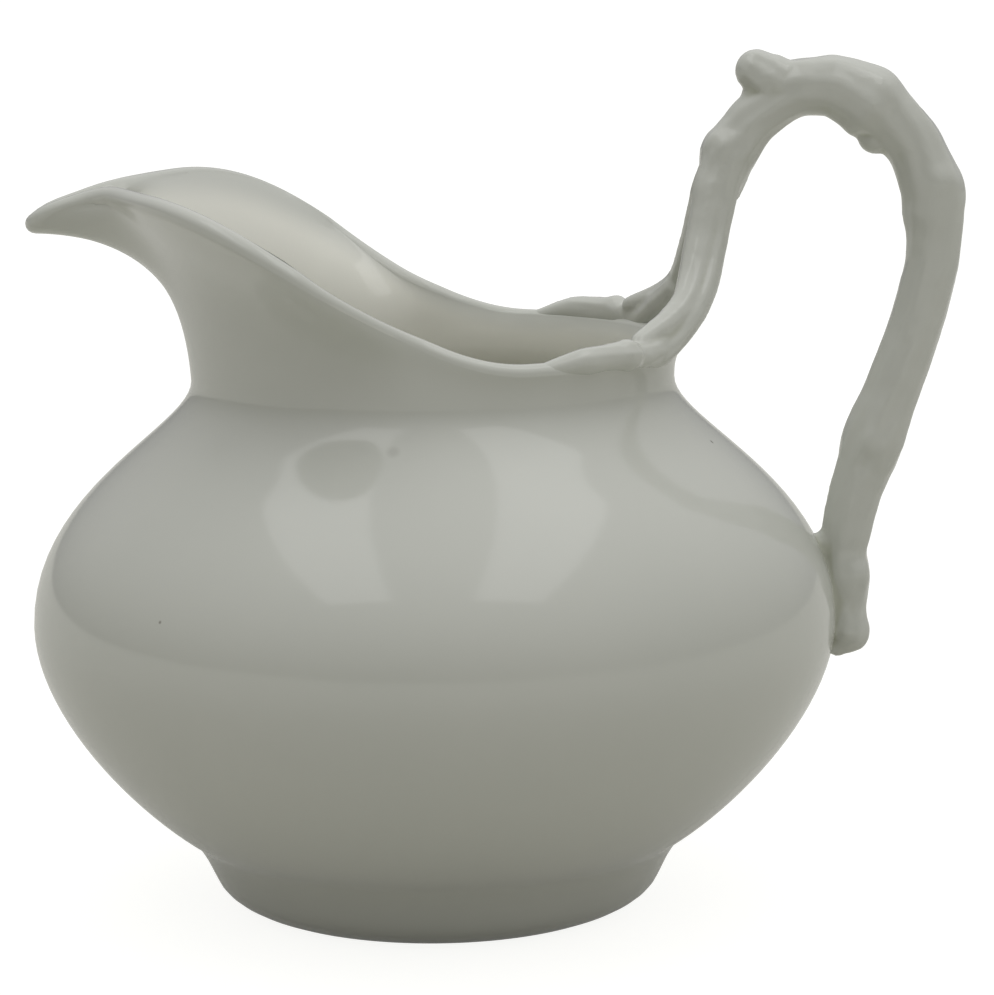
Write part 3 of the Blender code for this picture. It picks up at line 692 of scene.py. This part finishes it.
def join_pieces(pieces):
    bpy.ops.object.select_all(action="DESELECT")
    for piece in pieces:
        piece.select_set(True)
    bpy.context.view_layer.objects.active = pieces[0]
    bpy.ops.object.join()
    return pieces[0]


def skin_arrays(piece):
    """Places and normals of a piece's points."""
    mesh = piece.data
    places = np.empty(len(mesh.vertices) * 3)
    mesh.vertices.foreach_get("co", places)
    normals = np.empty(len(mesh.vertices) * 3)
    mesh.vertices.foreach_get("normal", normals)
    return places.reshape(-1, 3), normals.reshape(-1, 3)


def paint(piece, name, values):
    """Keeps one number for each point of a piece under a name that its material reads."""
    layer = piece.data.attributes.new(name, "FLOAT", "POINT")
    layer.data.foreach_set("value", np.asarray(values, dtype=np.float32))


def press_lumps(piece, bowl):
    """Presses knuckles out of the joined branches and hollows into them, alike on both sides."""
    places, normals = skin_arrays(piece)
    for out, across, up, reach, height in LUMPS:
        for side in (-1, 1):
            away = np.linalg.norm(places - np.array(from_rim(bowl, out, side * across, up)), axis=1)
            swell = np.clip(1.0 - (away / (reach * MM)) ** 2, 0.0, 1.0) ** 2
            places += normals * (swell * height * MM)[:, None]
    piece.data.vertices.foreach_set("co", places.ravel())
    piece.data.update()


def mark_joints(piece, bowl_piece, reach):
    """A vertex group that is full where the handle lies close to the bowl."""
    group = piece.vertex_groups.new(name="joint")
    for vertex in piece.data.vertices:
        found, place, *_ = bowl_piece.closest_point_on_mesh(vertex.co)
        away = (vertex.co - place).length
        if found and away < reach:
            group.add([vertex.index], smooth_step(1.0 - away / reach), "REPLACE")


def hollows(piece, handle):
    """For each point how far a pool of glaze would fill the hollow that it lies in, from 0 to 1."""
    places, normals = skin_arrays(piece)
    ends = np.empty(len(piece.data.edges) * 2, dtype=np.int32)
    piece.data.edges.foreach_get("vertices", ends)
    here, there = np.concatenate([ends.reshape(-1, 2), ends.reshape(-1, 2)[:, ::-1]]).T
    total = len(places)
    neighbours = np.maximum(np.bincount(here, minlength=total), 1)
    level = places.copy()
    for _ in range(handle.pool_rounds):
        sums = [np.bincount(here, weights=level[there, axis], minlength=total) for axis in range(3)]
        level = np.stack(sums, axis=1) / neighbours[:, None]
    depth = ((level - places) * normals).sum(axis=1)
    return np.clip(depth / handle.pool_depth, 0.0, 1.0)


def model_handle(bowl, handle, bowl_piece):
    """The handle: branches drawn along their paths, joined with pads of the wall and skinned as one."""
    parts = [draw_branch("handle", side_stations(bowl, BRANCH), handle)]
    for side in (-1, 1):
        # The far twig is drawn twice, low and lifted, so that no gap opens between it and the rim
        for lift in (0.0, handle.far_lift) if side > 0 else (0.0,):
            parts.append(draw_branch("twig", twig_stations(bowl, handle, TWIG, side, lift), handle))
        for rows in (ARM_INNER, ARM_OUTER, ARM_MIDDLE, ARM_WEB):
            parts.append(draw_branch("strand", strand_stations(bowl, handle, rows, side), handle))
    for name, rows in (("stub", STUB), ("crotch", CROTCH), ("knob", KNOB), ("web", WEB)):
        parts.append(draw_branch(name, side_stations(bowl, rows), handle))
    parts.append(cut_pad(bowl_piece, FORK_PAD, bowl.rim_height, handle.seat))
    parts.append(cut_pad(bowl_piece, HEEL_PAD, bowl.belly_height, handle.seat))
    piece = join_pieces(parts)
    apply_modifier(piece, "REMESH", mode="VOXEL", voxel_size=handle.voxel)
    bark = bpy.data.textures.new("bark", "CLOUDS")
    bark.noise_scale = handle.bark_grain
    apply_modifier(
        piece, "DISPLACE", texture=bark, texture_coords="LOCAL", strength=handle.bark_depth, mid_level=0.5
    )
    press_lumps(piece, bowl)
    mark_joints(piece, bowl_piece, handle.joint_reach)
    apply_modifier(piece, "SMOOTH", iterations=handle.smoothing, factor=EASE)
    apply_modifier(piece, "SMOOTH", iterations=handle.glaze_fill, factor=EASE, vertex_group="joint")
    bpy.ops.object.shade_smooth()
    paint(piece, "pooled", hollows(piece, handle))
    return piece


# Materials

def add_node(tree, kind, inputs=(), **settings):
    """Adds a node with its settings; each input is a socket and its value or the output that feeds it."""
    node = tree.nodes.new(kind)
    for name, value in settings.items():
        setattr(node, name, value)
    for socket, source in inputs:
        if isinstance(source, bpy.types.NodeSocket):
            tree.links.new(source, node.inputs[socket])
        else:
            node.inputs[socket].default_value = source
    return node


def new_material(name):
    material = bpy.data.materials.new(name)
    material.use_nodes = True
    material.node_tree.nodes.clear()
    return material


def opaque(shade):
    """A colour with full alpha, as a socket takes it."""
    return (*shade, 1.0)


def speck_factor(tree, place):
    """A factor that has each speck's strength inside it."""
    factors = []
    for along, across, up, radius, strength in SPECKS:
        centre = (AXIS_X + along * MM, across * MM, up * MM)
        away = add_node(tree, "ShaderNodeVectorMath", [(0, place), (1, centre)], operation="DISTANCE")
        edges = [(0, away.outputs["Value"]), (1, radius * MM), (2, radius * MM / 3), (4, strength)]
        factors.append(add_node(tree, "ShaderNodeMapRange", edges).outputs[0])
    while len(factors) > 1:
        pair = [(0, factors.pop()), (1, factors.pop())]
        factors.append(add_node(tree, "ShaderNodeMath", pair, operation="MAXIMUM").outputs[0])
    return factors[0]


def glazed_earthenware(glaze):
    """White earthenware, cast, dipped in a clear gloss glaze and fired.

    To the eye it is a soft grey white under sharp reflections. The glaze clouds a little and is a little
    warmer inside the bowl, where it is also painted lighter as a painted light for the light falling on the
    inner wall. It is greener where it pools, has fine waves and a few specks, and is wiped off the ring on
    which the foot stands.
    """
    material = new_material("glazed_earthenware")
    tree = material.node_tree
    place = add_node(tree, "ShaderNodeTexCoord").outputs["Object"]
    clouds = add_node(tree, "ShaderNodeTexNoise", [
        ("Vector", place), ("Scale", 1 / glaze.cloud_size), ("Detail", 3.0),
    ]).outputs["Fac"]
    # Where the inside is painted lighter, as painted light for the inner wall
    inside = add_node(tree, "ShaderNodeAttribute", attribute_name="inside").outputs["Fac"]
    pooled = add_node(tree, "ShaderNodeAttribute", attribute_name="pooled").outputs["Fac"]
    height = add_node(tree, "ShaderNodeSeparateXYZ", [(0, place)]).outputs["Z"]
    bare = add_node(tree, "ShaderNodeMapRange", [
        (0, height), (1, glaze.bare_height), (2, glaze.bare_height / 5),
    ]).outputs[0]
    # The inside's colours, painted lighter than the outside's as painted light
    inner = add_node(tree, "ShaderNodeMix", [
        (MIX_SHARE, clouds), (MIX_FIRST, opaque(glaze.inner)), (MIX_SECOND, opaque(glaze.inner_lit_cloud)),
    ], data_type="RGBA").outputs[MIX_RESULT]
    coats = (
        (clouds, opaque(glaze.outer_cloud)),
        (inside, inner),
        (pooled, opaque(glaze.pooled)),
        (speck_factor(tree, place), opaque(glaze.speck)),
        (bare, opaque(glaze.bare)),
    )
    finished = opaque(glaze.outer)
    for share, coat in coats:
        sockets = [(MIX_SHARE, share), (MIX_FIRST, finished), (MIX_SECOND, coat)]
        finished = add_node(tree, "ShaderNodeMix", sockets, data_type="RGBA").outputs[MIX_RESULT]
    gloss = add_node(tree, "ShaderNodeMapRange", [
        (0, clouds), (3, glaze.smoothest), (4, glaze.roughest),
    ]).outputs[0]
    rough = add_node(tree, "ShaderNodeMath", [(0, gloss), (1, bare)], operation="MAXIMUM").outputs[0]
    waves = add_node(tree, "ShaderNodeTexNoise", [
        ("Vector", place), ("Scale", 1 / glaze.wave_size), ("Detail", 1.0),
    ]).outputs["Fac"]
    skin = add_node(tree, "ShaderNodeBump", [
        ("Height", waves), ("Strength", 1.0), ("Distance", glaze.wave_depth),
    ]).outputs[0]
    shader = add_node(tree, "ShaderNodeBsdfPrincipled", [
        ("Base Color", finished), ("Roughness", rough), ("Normal", skin), ("IOR", glaze.ior),
    ]).outputs["BSDF"]
    add_node(tree, "ShaderNodeOutputMaterial", [("Surface", shader)])
    return material


def paper_floor(stage):
    """Matt white paper: it shows as white and keeps the shadow, and throws back less light than it shows."""
    material = new_material("matt_paper")
    tree = material.node_tree
    path = add_node(tree, "ShaderNodeLightPath")
    mirrored = add_node(tree, "ShaderNodeMath", [
        (0, path.outputs["Is Glossy Ray"]), (1, stage.mirrored),
    ], operation="MULTIPLY").outputs[0]
    seen = add_node(tree, "ShaderNodeMath", [
        (0, path.outputs["Is Camera Ray"]), (1, path.outputs["Is Transmission Ray"]),
    ], operation="MAXIMUM").outputs[0]
    shown = add_node(tree, "ShaderNodeMath", [(0, seen), (1, mirrored)], operation="MAXIMUM").outputs[0]
    shaded = [channel * stage.shadow for channel in stage.floor]
    paper = add_node(tree, "ShaderNodeBsdfDiffuse", [("Color", opaque(shaded))]).outputs[0]
    glow = add_node(tree, "ShaderNodeEmission", [
        ("Color", opaque(stage.floor)), ("Strength", stage.glow),
    ]).outputs[0]
    white = add_node(tree, "ShaderNodeAddShader", [(0, paper), (1, glow)]).outputs[0]
    dull = add_node(tree, "ShaderNodeBsdfDiffuse", [("Color", opaque(stage.bounce))]).outputs[0]
    mixed = add_node(tree, "ShaderNodeMixShader", [(0, shown), (1, dull), (2, white)]).outputs[0]
    add_node(tree, "ShaderNodeOutputMaterial", [("Surface", mixed)])
    return material


# Operators

class CREAMER_OT_bowl(Operator):
    """Model the spouted bowl with its foot"""
    bl_idname = "creamer.bowl"
    bl_label = "Bowl"

    def execute(self, context):
        piece = model_bowl(context.scene.creamer_bowl)
        piece.data.materials.append(glazed_earthenware(context.scene.creamer_glaze))
        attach(piece, "root")
        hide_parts("body", "foot_ring", "foot_slip")
        return {"FINISHED"}


class CREAMER_OT_handle(Operator):
    """Model the forked branch handle on the bowl"""
    bl_idname = "creamer.handle"
    bl_label = "Handle"

    def execute(self, context):
        scene = context.scene
        piece = model_handle(scene.creamer_bowl, scene.creamer_handle, bpy.data.objects["bowl"])
        piece.data.materials.clear()
        piece.data.materials.append(glazed_earthenware(scene.creamer_glaze))
        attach(piece, "root")
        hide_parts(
            "handle_branch", "fork_arm_left", "fork_arm_right", "rim_twig_left", "rim_twig_right",
            "arm_slip_left", "arm_slip_right", "heel_slip",
        )
        return {"FINISHED"}


class CREAMER_OT_stage(Operator):
    """Set the floor, the lamps and the camera"""
    bl_idname = "creamer.stage"
    bl_label = "Stage"

    def execute(self, context):
        stage = context.scene.creamer_stage
        context.scene.view_settings.view_transform = "Standard"
        bpy.ops.object.select_all(action="DESELECT")
        bpy.ops.mesh.primitive_plane_add(size=stage.floor_size)
        floor = context.active_object
        floor.name = "floor"
        floor.data.materials.append(paper_floor(stage))
        self.add_lamps(stage)
        self.add_camera(context, stage)
        self.light_world(context, stage)
        return {"FINISHED"}

    def add_lamps(self, stage):
        for side in (-1, 1):
            x = side * (stage.lamp_gap + stage.lamp_width) / 2 + AXIS_X
            bpy.ops.object.light_add(type="AREA", location=(x, -stage.lamp_forward, stage.lamp_height))
            lamp = bpy.context.active_object
            lamp.name = "soft_box_left" if side < 0 else "soft_box_right"
            lamp.data.shape = "RECTANGLE"
            lamp.data.size = stage.lamp_width
            lamp.data.size_y = stage.lamp_depth
            lamp.data.energy = stage.lamp_power

    def add_camera(self, context, stage):
        forward = Vector((0.0, math.cos(stage.pitch), -math.sin(stage.pitch)))
        aim = Vector((stage.aim_x, 0.0, stage.aim_height))
        bpy.ops.object.camera_add(location=aim - forward * stage.distance)
        camera = context.active_object
        tilt = Matrix.Rotation(math.pi / 2 - stage.pitch, 4, "X") @ Matrix.Rotation(stage.roll, 4, "Z")
        camera.rotation_euler = tilt.to_euler()
        camera.data.sensor_fit = "HORIZONTAL"
        camera.data.lens = stage.lens
        context.scene.camera = camera

    def light_world(self, context, stage):
        """A soft room: bright overhead, and a little light from the right and from behind."""
        world = bpy.data.worlds.new("soft_room")
        context.scene.world = world
        world.use_nodes = True
        tree = world.node_tree
        tree.nodes.clear()
        direction = add_node(tree, "ShaderNodeTexCoord").outputs["Generated"]
        lit = add_node(tree, "ShaderNodeVectorMath", [
            (0, direction), (1, (0.0, 0.0, 0.0)),
        ], operation="MAXIMUM").outputs[0]
        fills = (stage.fill_right, stage.fill_behind, stage.fill_above)
        level = add_node(tree, "ShaderNodeVectorMath", [(0, lit), (1, fills)], operation="DOT_PRODUCT")
        background = add_node(tree, "ShaderNodeBackground", [
            ("Color", (1.0, 1.0, 1.0, 1.0)), ("Strength", level.outputs["Value"]),
        ]).outputs[0]
        add_node(tree, "ShaderNodeOutputWorld", [("Surface", background)])


class CREAMER_PT_panel(Panel):
    """Lists the creamer's operators and settings"""
    bl_label = "Creamer"
    bl_space_type = "VIEW_3D"
    bl_region_type = "UI"
    bl_category = "Creamer"

    def draw(self, context):
        for operator in (CREAMER_OT_bowl, CREAMER_OT_handle, CREAMER_OT_stage):
            self.layout.operator(operator.bl_idname)
        for name, group in SETTINGS.items():
            box = self.layout.box()
            for setting in group.__annotations__:
                box.prop(getattr(context.scene, name), setting)


SETTINGS = {
    "creamer_bowl": CreamerBowl,
    "creamer_handle": CreamerHandle,
    "creamer_glaze": CreamerGlaze,
    "creamer_stage": CreamerStage,
}
CLASSES = (*SETTINGS.values(), CREAMER_OT_bowl, CREAMER_OT_handle, CREAMER_OT_stage, CREAMER_PT_panel)


def register():
    for cls in CLASSES:
        bpy.utils.register_class(cls)
    for name, group in SETTINGS.items():
        setattr(bpy.types.Scene, name, PointerProperty(type=group))


def unregister():
    for name in SETTINGS:
        delattr(bpy.types.Scene, name)
    for cls in reversed(CLASSES):
        bpy.utils.unregister_class(cls)


def main():
    register()
    bpy.ops.creamer.bowl()
    bpy.ops.creamer.handle()
    bpy.ops.creamer.stage()


if __name__ == "__main__":
    main()
